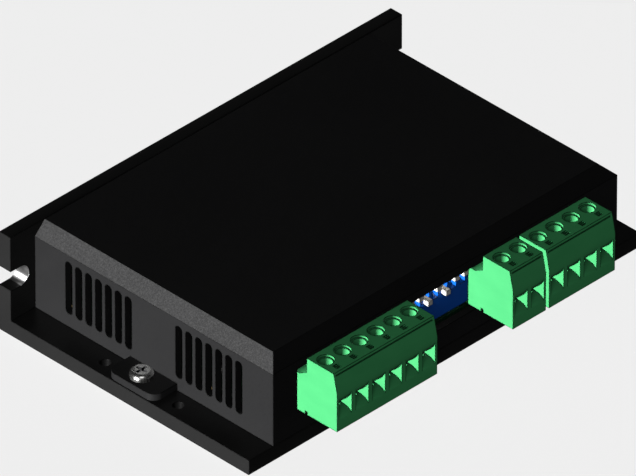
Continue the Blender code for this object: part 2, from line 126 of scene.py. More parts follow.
class Shader:
    """A material's node tree, built up with short calls."""

    def __init__(self, name, **constants):
        self.material = bpy.data.materials.new(name)
        self.material.use_nodes = True
        self.tree = self.material.node_tree
        self.bsdf = self.tree.nodes["Principled BSDF"]
        for socket, value in constants.items():
            self.bsdf.inputs[socket.replace("_", " ")].default_value = value
        self.coords = self.tree.nodes.new("ShaderNodeTexCoord").outputs["Object"]

    def link(self, output, socket):
        self.tree.links.new(output, socket)

    def scaled(self, x, y, z):
        """Object coordinates stretched by a factor along each axis, per metre."""
        node = self.tree.nodes.new("ShaderNodeMapping")
        self.link(self.coords, node.inputs["Vector"])
        node.inputs["Scale"].default_value = (x, y, z)
        return node.outputs["Vector"]

    def noise(self, vector, detail=3.0, rough=0.5):
        node = self.tree.nodes.new("ShaderNodeTexNoise")
        self.link(vector, node.inputs["Vector"])
        node.inputs["Scale"].default_value = 1.0
        node.inputs["Detail"].default_value = detail
        node.inputs["Roughness"].default_value = rough
        return node.outputs["Fac"]

    def ramp(self, factor, *stops):
        """Colours along a 0 to 1 factor: each stop is (place, colour or grey)."""
        node = self.tree.nodes.new("ShaderNodeValToRGB")
        self.link(factor, node.inputs["Fac"])
        for element, (place, colour) in zip(node.color_ramp.elements, stops):
            element.position = place
            element.color = (colour, colour, colour, 1) if isinstance(colour, float) else (*colour, 1)
        return node.outputs["Color"]

    def spread(self, noise, first, last):
        """A noise's values turned into the range from first to last."""
        return self.ramp(noise, (NOISE_LOW, first), (NOISE_HIGH, last))

    def mix(self, factor, a, b):
        """From a to b, each a colour or a socket."""
        node = self.tree.nodes.new("ShaderNodeMix")
        node.data_type = "RGBA"
        self.link(factor, node.inputs["Factor"])
        for value, socket in ((a, node.inputs["A"]), (b, node.inputs["B"])):
            if isinstance(value, tuple):
                socket.default_value = (*value, 1)
            else:
                self.link(value, socket)
        return node.outputs["Result"]

    def edges(self, reach):
        """1 along the edges and 0 away from them, from how a rounded normal leaves the true one."""
        rounded = self.tree.nodes.new("ShaderNodeBevel")
        rounded.samples = 8
        rounded.inputs["Radius"].default_value = reach * MM
        true = self.tree.nodes.new("ShaderNodeNewGeometry").outputs["Normal"]
        match = self.tree.nodes.new("ShaderNodeVectorMath")
        match.operation = "DOT_PRODUCT"
        self.link(rounded.outputs["Normal"], match.inputs[0])
        self.link(true, match.inputs[1])
        return self.ramp(match.outputs["Value"], (EDGE_DOTS[0], 1.0), (EDGE_DOTS[1], 0.0))

    def bump(self, height, distance, strength=1.0, normal=None):
        """A bump of a distance in millimetres, on top of another bump's normal where one is given."""
        node = self.tree.nodes.new("ShaderNodeBump")
        self.link(height, node.inputs["Height"])
        node.inputs["Distance"].default_value = distance * MM
        node.inputs["Strength"].default_value = strength
        if normal is not None:
            self.link(normal, node.inputs["Normal"])
        return node.outputs["Normal"]

    def set(self, **sockets):
        for socket, output in sockets.items():
            self.link(output, self.bsdf.inputs[socket.replace("_", " ")])
        return self.material


def anodised(name, level=1.0):
    """Black anodised aluminium, drawn along X, with darker edges; a level below 1 darkens it, which the
    tapped holes use as painted shade.
    """
    s = Shader(name, Metallic=0.0, Specular_IOR_Level=0.1)
    cloud = s.noise(s.scaled(60, 60, 60), 4)
    drawn = s.noise(s.scaled(40, 3500, 3500), 3)
    grit = s.noise(s.scaled(9000, 9000, 9000), 1)
    base = s.spread(cloud, (0.0098 * level,) * 3, (0.0126 * level,) * 3)
    return s.set(
        Base_Color=s.mix(s.edges(BLACK_EDGE_REACH), base, EDGE_BLACK),
        Roughness=s.spread(drawn, 0.34, 0.50),
        Normal=s.bump(grit, 0.006, 0.5, s.bump(drawn, 0.02, 0.5)),
    )


def textured_black(name):
    """Powder-coated sheet with a fine even grain and darker edges."""
    s = Shader(name, Metallic=0.0, Specular_IOR_Level=0.1)
    cloud = s.noise(s.scaled(35, 35, 35), 4)
    grain = s.noise(s.scaled(2600, 2600, 2600), 3, 0.6)
    base = s.spread(cloud, (0.0100, 0.0100, 0.0104), (0.0122, 0.0122, 0.0126))
    return s.set(
        Base_Color=s.mix(s.edges(BLACK_EDGE_REACH), base, EDGE_BLACK),
        Roughness=s.spread(grain, 0.42, 0.60),
        Normal=s.bump(grain, 0.03, 0.6),
    )


def polyamide(name, dark, light, rough=(0.34, 0.48), edge=None):
    """Moulded plastic with a faint flow pattern and a very fine grain; edge is a colour for its edges."""
    s = Shader(name, Metallic=0.0, Specular_IOR_Level=0.3)
    flow = s.noise(s.scaled(120, 120, 260), 5)
    grain = s.noise(s.scaled(5000, 5000, 5000), 2)
    base = s.spread(flow, dark, light)
    return s.set(
        Base_Color=s.mix(s.edges(PLASTIC_EDGE_REACH), base, edge) if edge else base,
        Roughness=s.spread(grain, *rough),
        Normal=s.bump(grain, 0.01, 0.5),
    )


def metal(name, dark, light, rough=(0.22, 0.4), fine=2500, grain=0.01):
    """Bare or plated metal, brushed along Z."""
    s = Shader(name, Metallic=1.0)
    stain = s.noise(s.scaled(500, 500, 500), 4)
    brushed = s.noise(s.scaled(fine, fine, fine * 0.2), 3)
    return s.set(
        Base_Color=s.spread(stain, dark, light),
        Roughness=s.spread(brushed, *rough),
        Normal=s.bump(brushed, grain, 0.4),
    )


def solder_mask(name):
    """Green mask over copper tracks that show as slightly lighter and higher bands."""
    s = Shader(name, Metallic=0.0, Coat_Weight=0.4, Coat_Roughness=0.15)
    tracks = s.tree.nodes.new("ShaderNodeTexBrick")
    s.link(s.scaled(90, 130, 1), tracks.inputs["Vector"])
    tracks.inputs["Scale"].default_value = 6.0
    tracks.inputs["Mortar Size"].default_value = 0.03
    tracks.inputs["Color1"].default_value = (0.0, 0.0, 0.0, 1)
    tracks.inputs["Color2"].default_value = (0.1, 0.1, 0.1, 1)
    tracks.inputs["Mortar"].default_value = (1, 1, 1, 1)
    weave = s.noise(s.scaled(1500, 1500, 400), 2)
    base = s.spread(weave, (0.008, 0.07, 0.03), (0.012, 0.09, 0.04))
    return s.set(
        Base_Color=s.mix(tracks.outputs["Color"], base, (0.03, 0.17, 0.07)),
        Roughness=s.spread(weave, 0.3, 0.45),
        Normal=s.bump(tracks.outputs["Color"], 0.03, 0.6),
    )


MATERIALS = {
    "heatsink": anodised("anodised_black"),
    "cover": textured_black("cover_black"),
    "green": polyamide(
        "terminal_green", (0.048, 0.310, 0.108), (0.056, 0.340, 0.120), edge=(0.003, 0.030, 0.010),
    ),
    # Painted shade: a darker green for the plugs' groove and test slits, standing for the shade inside them.
    "recess": polyamide("terminal_recess_painted_shade", (0.008, 0.065, 0.022), (0.012, 0.085, 0.030)),
    "blue": polyamide("dip_blue", (0.005, 0.092, 0.51), (0.007, 0.108, 0.56), edge=(0.001, 0.014, 0.07)),
    "white": polyamide("slider_white", (0.66, 0.64, 0.60), (0.74, 0.72, 0.68), edge=(0.08, 0.08, 0.08)),
    "plated": metal("plated_steel", (0.72, 0.72, 0.70), (0.82, 0.82, 0.80), (0.16, 0.3)),
    "milled": metal("milled_aluminium", (0.17, 0.17, 0.17), (0.20, 0.20, 0.20), (0.30, 0.34), grain=0.002),
    # Painted shade: near-black steel for the faces inside the screws' cross recesses, standing for the shade
    # there.
    "cross_recess_shade": metal("recess_painted_shade_steel", (0.020, 0.020, 0.021), (0.045, 0.045, 0.046), (0.4, 0.6)),
    # Painted shade: the anodised colour at a quarter of its level, for the tapped holes' walls, standing for
    # the shade inside them.
    "tapped_hole_shade": anodised("bore_painted_shade", 0.25),
    "zinc": metal("zinc_steel", (0.50, 0.51, 0.50), (0.64, 0.64, 0.61), (0.26, 0.42)),
    "nickel": metal("nickel_cage", (0.55, 0.52, 0.46), (0.68, 0.65, 0.58), (0.25, 0.4)),
    "tin": metal("tinned_copper", (0.62, 0.58, 0.54), (0.74, 0.70, 0.66), (0.25, 0.4)),
    "brass": metal("turned_brass", (0.58, 0.42, 0.17), (0.72, 0.54, 0.25), (0.25, 0.4)),
    "board": solder_mask("solder_mask"),
    "epoxy": polyamide("moulded_epoxy", (0.010, 0.010, 0.011), (0.016, 0.016, 0.017), (0.45, 0.6)),
    "ferrite": polyamide("pressed_ferrite", (0.030, 0.030, 0.032), (0.05, 0.05, 0.052), (0.6, 0.8)),
    "sleeve": polyamide("shrink_sleeve", (0.010, 0.011, 0.020), (0.014, 0.016, 0.028), (0.2, 0.3)),
    "can": metal("can_aluminium", (0.60, 0.60, 0.61), (0.72, 0.72, 0.73), (0.3, 0.45)),
    "pad": polyamide("thermal_pad", (0.20, 0.24, 0.28), (0.26, 0.30, 0.34), (0.75, 0.9)),
}


# ---------------------------------------------------------------- mesh tools

SHARP_ANGLE = 35  # degrees: the least angle between faces that makes an edge sharp
FINE_ANGLE = 40  # the same for turned parts and CAD nodes


def box(a, b):
    """A cuboid between two corners."""
    a, b = Vector(a), Vector(b)
    place = Matrix.Translation((a + b) / 2 * MM) @ Matrix.Diagonal((*((b - a) * MM), 1.0))
    return lambda bm: bmesh.ops.create_cube(bm, size=1.0, matrix=place)


def rod(base, length, radius):
    """An upright cylinder that stands on base."""
    place = Matrix.Translation((Vector(base) + Vector(UP) * length / 2) * MM)
    return lambda bm: bmesh.ops.create_cone(
        bm, cap_ends=True, segments=ROUND, radius1=radius * MM, radius2=radius * MM, depth=length * MM,
        matrix=place,
    )


AXES = {
    "X": Matrix(((0, 0, 1, 0), (1, 0, 0, 0), (0, 1, 0, 0), (0, 0, 0, 1))),
    "Y": Matrix(((0, 1, 0, 0), (0, 0, 1, 0), (1, 0, 0, 0), (0, 0, 0, 1))),
    "Z": Matrix.Identity(4),
}


def prism(outline, start, end, axis):
    """An outline extruded along an axis: (Y, Z) points for X, (Z, X) for Y, (X, Y) for Z."""

    def add(bm):
        turn = AXES[axis]
        rings = [
            [bm.verts.new(turn @ Vector((u * MM, v * MM, w * MM))) for u, v in outline]
            for w in (start, end)
        ]
        count = len(outline)
        faces = [bm.faces.new(rings[0]), bm.faces.new(rings[1])]
        for i in range(count):
            j = (i + 1) % count
            faces.append(bm.faces.new((rings[0][i], rings[0][j], rings[1][j], rings[1][i])))
        bmesh.ops.recalc_face_normals(bm, faces=faces)

    return add


def lathe(profile, centre, steps=ROUND):
    """(radius, height) points turned about a vertical axis through centre."""

    def add(bm):
        verts = [bm.verts.new((r * MM, 0, z * MM)) for r, z in profile]
        edges = [bm.edges.new(pair) for pair in zip(verts, verts[1:])]
        bmesh.ops.spin(bm, geom=verts + edges, cent=(0, 0, 0), axis=UP, angle=2 * math.pi, steps=steps)
        bmesh.ops.remove_doubles(bm, verts=bm.verts[:], dist=MERGE)
        bmesh.ops.recalc_face_normals(bm, faces=bm.faces[:])
        bmesh.ops.translate(bm, verts=bm.verts[:], vec=Vector(centre) * MM)

    return add


def arc(centre, radius, first, last, steps):
    """Points of a circular arc from one angle to another, in degrees."""
    angles = [math.radians(first + (last - first) * i / steps) for i in range(steps + 1)]
    return [(centre[0] + radius * math.cos(a), centre[1] + radius * math.sin(a)) for a in angles]


def stadium(centre, length, width, upright=False, steps=12):
    """A slot's outline with round ends, long along its first axis, or along its second if upright."""
    reach, radius = (length - width) / 2, width / 2
    u, v = centre
    if upright:
        return arc((u, v + reach), radius, 0, 180, steps) + arc((u, v - reach), radius, 180, 360, steps)
    return arc((u + reach, v), radius, -90, 90, steps) + arc((u - reach, v), radius, 90, 270, steps)


def new_object(name, shapes):
    """An object in the scene made of the given shapes."""
    bm = bmesh.new()
    for add in shapes:
        add(bm)
    mesh = bpy.data.meshes.new(name)
    bm.to_mesh(mesh)
    bm.free()
    obj = bpy.data.objects.new(name, mesh)
    bpy.context.scene.collection.objects.link(obj)
    return obj


def combine(obj, steps):
    """Applies cuts and joins in turn: each step is ("cut" or "join", shapes)."""
    tools = []
    for kind, shapes in steps:
        tool = new_object(f"{obj.name}_tool", shapes)
        modifier = obj.modifiers.new(kind, "BOOLEAN")
        modifier.object = tool
        modifier.operation = "DIFFERENCE" if kind == "cut" else "UNION"
        modifier.solver = "EXACT"
        tools.append(tool)
    evaluated = obj.evaluated_get(bpy.context.evaluated_depsgraph_get())
    mesh = bpy.data.meshes.new_from_object(evaluated)
    obj.modifiers.clear()
    obj.data = mesh
    for tool in tools:
        bpy.data.objects.remove(tool, do_unlink=True)


def bevelled(obj, width, angle):
    """Adds a modifier that rounds the edges sharper than an angle in degrees."""
    bevel = obj.modifiers.new("ease", "BEVEL")
    bevel.width = width * MM
    bevel.segments = 2
    bevel.limit_method = "ANGLE"
    bevel.angle_limit = math.radians(angle)
    return bevel


def piece(name, body, slot, material, shapes, steps=(), width=0.0, replaces=(), angle=SHARP_ANGLE):
    """A visible piece: its shapes, then its cuts and joins, then edges rounded to a width."""
    obj = new_object(name, shapes)
    if steps:
        combine(obj, steps)
    obj.data.materials.clear()
    obj.data.materials.append(MATERIALS[material])
    if width:
        bevel = bevelled(obj, width, angle)
        bevel.harden_normals = True
        bevel.miter_outer = "MITER_ARC"
    obj.data.shade_smooth()
    obj.data.set_sharp_from_angle(angle=math.radians(angle))
    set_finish(obj, slot)
    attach(obj, body)
    if replaces:
        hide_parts(*replaces)
    return obj


def paint(obj, material, chosen):
    """Gives another material to the faces that chosen(x, y, z, normal) picks by their centres."""
    obj.data.materials.append(MATERIALS[material])
    index = len(obj.data.materials) - 1
    for face in obj.data.polygons:
        if chosen(*(face.center / MM), face.normal):
            face.material_index = index


# ---------------------------------------------------------------- heatsink and cover

BASE_LOW, BASE_HIGH = low("heatsink_base"), high("heatsink_base")
COVER_LOW, COVER_HIGH = low("cover"), high("cover")
FRONT = BASE_LOW.y
PLATE = 3.85  # thickness of the heatsink's plate
WALL_FACE = BASE_HIGH.y - 3.65  # the upright wall's inner face
BASE_ROUND = 0.35

MOUNT_SLOT_X = 56  # centre of the slot's round end
MOUNT_SLOT_Z = 14.1
MOUNT_SLOT_WIDTH = 4.9
MOUNT_SLOT_REACH = 20.0  # runs out through the end of the wall

EAR_Y = -1.85
EAR_SCREW_X = 55.43
EAR_SCREW_HOLE = 1.6
TAPPED_OFFSET = 11  # the two tapped holes lie this far before and behind the ear's screw
TAPPED_HOLE = 1.25

COVER_HALF = 51.85
SHEET = 1.8  # thickness of the cover
CHAMFER = 3.0
WINDOW_LOW, WINDOW_HIGH = (-44.6, 9.1), (40.1, 20.3)  # the front opening in X and Z
VENT_GROUP = 16.6  # from the ears' centre line to the middle of each group of vents
VENT_PITCH = 3.0
VENT_Z = 14.05
VENT_HEIGHT, VENT_WIDTH = 13.5, 2.0
EAR_HALF_WIDTH = 7.1
EAR_NEAR, EAR_FAR = 50.8, 58.85
EAR_CORNER = 2.4
EAR_THICKNESS = 1.9
EAR_HOLE = 1.7


def in_mount_slot(x, y, z, normal):
    inside = 53 < abs(x) < 58.9 and y > WALL_FACE + 0.01 and abs(z - MOUNT_SLOT_Z) < 2.6
    return inside and abs(normal.x) > 0.05 and abs(normal.y) < 0.1


def in_tapped_hole(x, y, z, normal):
    near = 1.3
    inside = abs(abs(x) - EAR_SCREW_X) < near and abs(abs(y - EAR_Y) - TAPPED_OFFSET) < near
    return inside and abs(normal.z) < 0.5


def heatsink():
    e, notch = BASE_ROUND, 0.1
    profile = [
        *arc((FRONT + e, e), e, 180, 270, 3), *arc((BASE_HIGH.y - e, e), e, 270, 360, 3),
        *arc((BASE_HIGH.y - e, BASE_HIGH.z - e), e, 0, 90, 3),
        (WALL_FACE + notch, BASE_HIGH.z), (WALL_FACE, BASE_HIGH.z - notch), (WALL_FACE, PLATE),
        *arc((FRONT + e, PLATE - e), e, 90, 180, 3),
    ]
    slots = []
    for side in SIDES:
        x = side * (MOUNT_SLOT_X + (MOUNT_SLOT_REACH - MOUNT_SLOT_WIDTH) / 2)
        outline = stadium((MOUNT_SLOT_Z, x), MOUNT_SLOT_REACH, MOUNT_SLOT_WIDTH, True, 20)
        slots.append(prism(outline, WALL_FACE - 1, 39, "Y"))
    holes = []
    for side in SIDES:
        x = side * EAR_SCREW_X
        holes.append(rod((x, EAR_Y, -1), 6, EAR_SCREW_HOLE))
        for offset in (-TAPPED_OFFSET, TAPPED_OFFSET):
            holes.append(rod((x, EAR_Y + offset, -1), 6, TAPPED_HOLE))
    obj = piece(
        "heatsink", "chassis", "heatsink", "heatsink", [prism(profile, BASE_LOW.x, BASE_HIGH.x, "X")],
        [("cut", slots), ("cut", holes)], 0.12, ["heatsink_base"],
    )
    paint(obj, "milled", in_mount_slot)
    # Painted shade: the walls of the tapped holes get the darker anodised colour.
    paint(obj, "tapped_hole_shade", in_tapped_hole)


def chamfered(x, front, back, bottom, top, chamfer):
    """A block whose left, right and front top edges are chamfered."""

    def add(bm):
        corners = box((-x, front, bottom), (x, back, top))(bm)["verts"]
        edges = {edge for corner in corners for edge in corner.link_edges}
        upper = [e for e in edges if all(v.co.z > (top - 0.01) * MM for v in e.verts)]
        cut = [e for e in upper if not all(v.co.y > (back - 0.01) * MM for v in e.verts)]
        bmesh.ops.bevel(bm, geom=cut, offset=chamfer * MM, segments=1, affect="EDGES")

    return add


def cover():
    bottom, top, back = COVER_LOW.z, COVER_HIGH.z, COVER_HIGH.y
    inner_chamfer = CHAMFER - (2 - math.sqrt(2)) * SHEET
    hollow = chamfered(COVER_HALF - SHEET, FRONT + SHEET, back + 1, bottom - 1, top - SHEET, inner_chamfer)
    (left, sill), (right, lintel) = WINDOW_LOW, WINDOW_HIGH
    window = box((left, FRONT - 1, sill), (right, FRONT + SHEET + 1, lintel))
    vents = []
    for group in SIDES:
        for i in range(-3, 4):
            centre = (EAR_Y + group * VENT_GROUP + i * VENT_PITCH, VENT_Z)
            vents.append(prism(stadium(centre, VENT_HEIGHT, VENT_WIDTH, True, 10), -53, 53, "X"))
    ears = []
    r = EAR_CORNER
    for side in SIDES:
        outline = [
            (EAR_NEAR, EAR_Y + EAR_HALF_WIDTH),
            *arc((EAR_FAR - r, EAR_Y + EAR_HALF_WIDTH - r), r, 90, 0, 8),
            *arc((EAR_FAR - r, EAR_Y - EAR_HALF_WIDTH + r), r, 0, -90, 8),
            (EAR_NEAR, EAR_Y - EAR_HALF_WIDTH),
        ]
        ears.append(prism([(side * x, y) for x, y in outline], bottom, PLATE + EAR_THICKNESS, "Z"))
    holes = [rod((side * EAR_SCREW_X, EAR_Y, 2), 5, EAR_HOLE) for side in SIDES]
    piece(
        "cover_shell", "chassis", "cover", "cover",
        [chamfered(COVER_HALF, FRONT, back, bottom, top, CHAMFER)],
        [("cut", [hollow]), ("cut", [window]), ("cut", vents), ("join", ears), ("cut", holes)],
        0.15, ["cover"],
    )


# ---------------------------------------------------------------- screws

RECESS_SHARE = 0.6  # the cross recess's radius against the head's
RECESS_DEPTH = 0.72  # its depth against the head's height
RECESS_HALF_WIDTH = 0.36


def pan_head(radius, height):
    """A pan head's profile from its top centre down to its rim: flat on top, rounded at the side."""
    flat, side, foot = 0.66 * radius, 0.3 * height, 0.12
    rim = [
        (flat + (radius - flat) * math.sin(t), side + (height - side) * math.cos(t))
        for t in (i * math.pi / 2 / 8 for i in range(9))
    ]
    return [(0, height)] + rim + [(radius, foot), (radius - foot, 0)]


def thread(radius, pitch, top, bottom):
    """A shank's ridged side from top to bottom, in pitch steps."""
    root = radius - 0.35 * pitch
    points = []
    height = top
    while height - pitch > bottom:
        points += [(root, height), (radius, height - pitch / 2)]
        height -= pitch
    return points + [(root, height), (radius - 0.5 * pitch, bottom), (0, bottom)]


def blade(centre, top, radius, depth, turn):
    """One slot of a cross recess: narrower and shorter at its bottom, turned by an angle about Z."""

    def add(bm):
        corners = box((-radius, -RECESS_HALF_WIDTH, -depth), (radius, RECESS_HALF_WIDTH, 0.3))(bm)["verts"]
        for v in corners:
            if v.co.z < 0:
                v.co.x *= 0.42
                v.co.y *= 0.55
        if turn:
            bmesh.ops.rotate(bm, verts=corners, cent=(0, 0, 0), matrix=Matrix.Rotation(turn, 3, "Z"))
        bmesh.ops.translate(bm, verts=corners, vec=Vector((*centre, top)) * MM)

    return add


def cross_screw(name, slot, material, node, head, height, shank, pitch, steps):
    """A pan-head screw with a cross recess in place of a CAD node."""
    a, b = low(node), high(node)
    centre = ((a.x + b.x) / 2, (a.y + b.y) / 2)
    seat = b.z - height
    profile = pan_head(head, height) + [(shank, 0)] + thread(shank, pitch, -0.1, a.z - seat)
    cuts = [
        ("cut", [blade(centre, b.z, RECESS_SHARE * head, RECESS_DEPTH * height, turn)])
        for turn in (0, math.pi / 2)
    ]
    obj = piece(
        name, "chassis", slot, material, [lathe(profile, (*centre, seat), steps)],
        cuts, 0.05, [node], FINE_ANGLE,
    )

    def in_recess(x, y, z, normal):
        on_top = normal.z > 0.9 and z > b.z - 0.05
        return math.hypot(x - centre[0], y - centre[1]) < 0.62 * head and z > seat + 0.1 and not on_top

    # Painted shade: the faces inside the cross recess get the near-black steel in place of their shade.
    paint(obj, "cross_recess_shade", in_recess)


# ---------------------------------------------------------------- terminals

# "Ahead" is a distance in front of the cover, and "height" one above a plug's underside.
PITCH = 5.0
PLUG_Z = low("plug_6way").z
REACH = 11.3  # how far a plug's front lies ahead
SLOPE_FOOT, PLUG_TOP = 9.8, 14.6  # heights where the front begins to slope back, and where it ends
SLOPE_RUN = 1.04
SCREW_AHEAD = 5.4
TERMINALS = {"6way": 6, "2way": 2, "4way": 4}

BORES = {  # round holes over each clamp screw: bottom height, length, radius
    "mouth": (14.0, 2, 1.88),
    "neck": (11, 4, 1.5),
    "seat": (10.2, 2, 1.83),
    "shank": (8, 3, 1.35),
}
ENTRY_HALF_WIDTH = 1.9
FUNNEL_DEPTH = 3.3
SILL_HEIGHT, SILL_RISE = 2.7, 1.5
LINTEL_HEIGHT, LINTEL_DROP = 8.6, 4.0
TEST_SLITS, TEST_AHEAD, TEST_STEP = 3, 8.25, 0.5
TEST_LENGTH, TEST_WIDTH, TEST_FLOOR = 1.4, 0.3, 13.9
GROOVE_HEIGHTS = (13.78, 14.0)

CLAMP_HEAD = [(0, 1.5), (1.55, 1.5), (1.68, 1.45), (1.74, 1.35), (1.75, 0.1), (1.65, 0), (1.2, 0)]
CLAMP_HEAD_HEIGHT = 1.5
CLAMP_SHANK, CLAMP_PITCH = 1.2, 0.5
CLAMP_SLOT_HALF_WIDTH, CLAMP_SLOT_DEPTH = 0.28, 0.8

SHROUD_LENGTH, SHROUD_BOTTOM = 11.75, 9.35
PIN_HEIGHT, PIN_HALF = 3.85, 0.49
PIN_TIP, PIN_ELBOW, PIN_LEG_BACK, PIN_FOOT = 3.6, 14.31, 15.29, 6.4  # behind the cover's front; the foot in Z


def plug_profile():
    """The plug's side view from its front bottom corner, as (Y, Z)."""
    points = [
        (REACH, 0), (2.45, 0), (2.45, 0.8), (1.75, 0.8), (1.75, 0), (-2.1, 0), (-2.1, 9.7), (0, 9.7),
        (2.2, 10.95), (2.3, PLUG_TOP), (REACH - SLOPE_RUN, PLUG_TOP), (REACH, SLOPE_FOOT),
    ]
    return [(FRONT - ahead, PLUG_Z + height) for ahead, height in points]


def entry_profile():
    """The wire funnel's side view: a rounded sill, and a ceiling that slopes down to the passage."""
    floor_turns = [math.pi / 2 * i / 8 for i in range(9)]
    floor_line = [
        (FUNNEL_DEPTH * (1 - math.cos(t)), SILL_HEIGHT + SILL_RISE * math.sin(t)) for t in floor_turns
    ]
    shares = [(i / 10) ** 1.5 for i in range(11)]
    ceiling = [(FUNNEL_DEPTH * t, LINTEL_HEIGHT - LINTEL_DROP * t ** 0.6) for t in shares]
    points = [(-1.0, SILL_HEIGHT), *floor_line, *reversed(ceiling), (-1.0, LINTEL_HEIGHT)]
    return [(FRONT - REACH + depth, PLUG_Z + height) for depth, height in points]


def groove_outline():
    """A shallow groove along the sloping front, just under the plug's top, as (Y, Z)."""
    slope = SLOPE_RUN / (PLUG_TOP - SLOPE_FOOT)
    line = [(REACH - slope * (height - SLOPE_FOOT), height) for height in GROOVE_HEIGHTS]
    outside = [(FRONT - ahead + 0.15, PLUG_Z + height) for ahead, height in line]
    return outside + [(FRONT - ahead - 0.5, PLUG_Z + height) for ahead, height in reversed(line)]


def way_cuts(x):
    """The hollows of one way, by kind, in the order they are cut."""
    cuts = {"chamber": [box((x - 2, FRONT - 7.4, PLUG_Z + 0.9), (x + 2, FRONT - 3.4, PLUG_Z + 9.3))]}
    for kind, (bottom, length, radius) in BORES.items():
        cuts[kind] = [rod((x, FRONT - SCREW_AHEAD, PLUG_Z + bottom), length, radius)]
    cuts["entry"] = [prism(entry_profile(), x - ENTRY_HALF_WIDTH, x + ENTRY_HALF_WIDTH, "X")]
    cuts["passage"] = [box((x - 1.2, FRONT - 8.6, PLUG_Z + 3.4), (x + 1.2, FRONT - 6, PLUG_Z + 5))]
    cuts["socket"] = [box((x - 0.65, FRONT - 4.4, PLUG_Z + 3.2), (x + 0.65, FRONT + 10.5, PLUG_Z + 4.5))]
    cuts["test"] = [
        prism(
            stadium((x, FRONT - TEST_AHEAD - TEST_STEP * cut), TEST_LENGTH, TEST_WIDTH),
            PLUG_Z + TEST_FLOOR, PLUG_Z + 16, "Z",
        )
        for cut in range(TEST_SLITS)
    ]
    return cuts


def plug(label, ways):
    node = f"plug_{label}"
    start = low(node).x
    end = start + ways * PITCH
    tongue = box((start + 1, FRONT + 1.8, PLUG_Z + 1.2), (end - 1, FRONT + 9.5, PLUG_Z + 8))
    groups = {}
    for way in range(ways):
        for kind, shapes in way_cuts(start + (way + 0.5) * PITCH).items():
            groups.setdefault(kind, []).extend(shapes)
    steps = [("join", [tongue])] + [("cut", shapes) for shapes in groups.values()]
    steps.append(("cut", [prism(groove_outline(), start + 0.5, end - 0.5, "X")]))
    obj = piece(
        f"terminal_{label}", node, "terminal_plastic", "green",
        [prism(plug_profile(), start, end, "X")], steps, 0.08, [node],
    )

    def in_shaded_recesses(x, y, z, normal):
        ahead, height = FRONT - y, z - PLUG_Z
        in_test = 7.9 < ahead < 9.6 and 13.8 < height < 14.58
        in_groove = 13.8 < height < 14.03 and ahead > 9.7 and start + 0.4 < x < end - 0.4
        return in_test or in_groove

    # Painted shade: the test slits and the groove under the top get the darker green in place of their shade.
    paint(obj, "recess", in_shaded_recesses)


def clamp_parts():
    for number in range(1, sum(TERMINALS.values()) + 1):
        node = f"clamp_screw_{number:02d}"
        a, b = low(node), high(node)
        x, y, seat = (a.x + b.x) / 2, (a.y + b.y) / 2, b.z - CLAMP_HEAD_HEIGHT
        profile = CLAMP_HEAD + thread(CLAMP_SHANK, CLAMP_PITCH, -0.1, a.z - seat)
        driver_slot = box(
            (x - 2, y - CLAMP_SLOT_HALF_WIDTH, b.z - CLAMP_SLOT_DEPTH),
            (x + 2, y + CLAMP_SLOT_HALF_WIDTH, b.z + 1),
        )
        piece(
            f"screw_{number:02d}", node, "clamp_screws", "zinc", [lathe(profile, (x, y, seat), 32)],
            [("cut", [driver_slot])], 0.0, [node],
        )
        dress(f"clamp_cage_{number:02d}", "nickel", 0.12)


def pin(x):
    """A header's square pin: level through the shroud, then bent down through the board."""
    z, h = PLUG_Z + PIN_HEIGHT, PIN_HALF
    path = [
        (FRONT + PIN_TIP, z - h), (FRONT + 14.0, z - h), (FRONT + PIN_ELBOW, z - 0.8),
        (FRONT + PIN_ELBOW, PIN_FOOT), (FRONT + PIN_LEG_BACK, PIN_FOOT), (FRONT + PIN_LEG_BACK, z + 0.1),
        (FRONT + 14.9, z + h), (FRONT + PIN_TIP, z + h),
    ]
    return prism(path, x - h, x + h, "X")


def header(label, ways):
    node = f"header_{label}"
    a, b = low(node), high(node)
    front, back = a.y, a.y + SHROUD_LENGTH
    hollow = box((a.x + 0.85, front - 1, PLUG_Z + 1.05), (b.x - 0.85, back - 2, PLUG_Z + 8.15))
    z = PLUG_Z + PIN_HEIGHT
    places = [a.x + (way + 0.5) * PITCH for way in range(ways)]
    holes = [box((x - 0.5, back - 3, z - 0.5), (x + 0.5, back + 1, z + 0.5)) for x in places]
    piece(
        f"shroud_{label}", "chassis", "terminal_plastic", "green",
        [box((a.x, front, SHROUD_BOTTOM), (b.x, back, b.z))],
        [("cut", [hollow]), ("cut", holes)], 0.15, [node],
    )
    piece(f"pins_{label}", "chassis", "clamp_cages", "tin", [pin(x) for x in places], (), 0.1)


# ---------------------------------------------------------------- DIP switch

SWITCH_BOTTOM = 10.55
SLIDERS = [f"dip_slider_{number}" for number in range(1, 9)]


def dip_switch():
    a, b = low("dip_switch_body"), high("dip_switch_body")
    face = a.y
    centres = [(low(node).x + high(node).x) / 2 for node in SLIDERS]
    slots = [box((x - 0.8, face - 1, 16.0), (x + 0.8, face + 1.5, 19.8)) for x in centres]
    pockets = [box((x - 1.15, face + 1.25, 15.9), (x + 1.15, face + 2.7, 19.9)) for x in centres]
    legs = [
        box((x - 0.25, y - 0.15, 6.7), (x + 0.25, y + 0.15, SWITCH_BOTTOM + 0.4))
        for x in centres for y in (FRONT + 3.3, FRONT + 6.3)
    ]
    piece(
        "switch_housing", "chassis", "dip_body", "blue",
        [box((a.x, face, SWITCH_BOTTOM), (b.x, b.y, b.z))],
        [("cut", slots), ("cut", pockets)], 0.08, ["dip_switch_body"],
    )
    piece("switch_legs", "chassis", "clamp_cages", "tin", legs, (), 0.05)
    for node in SLIDERS:
        dress(node, "white", 0.1)


# ---------------------------------------------------------------- parts under the cover

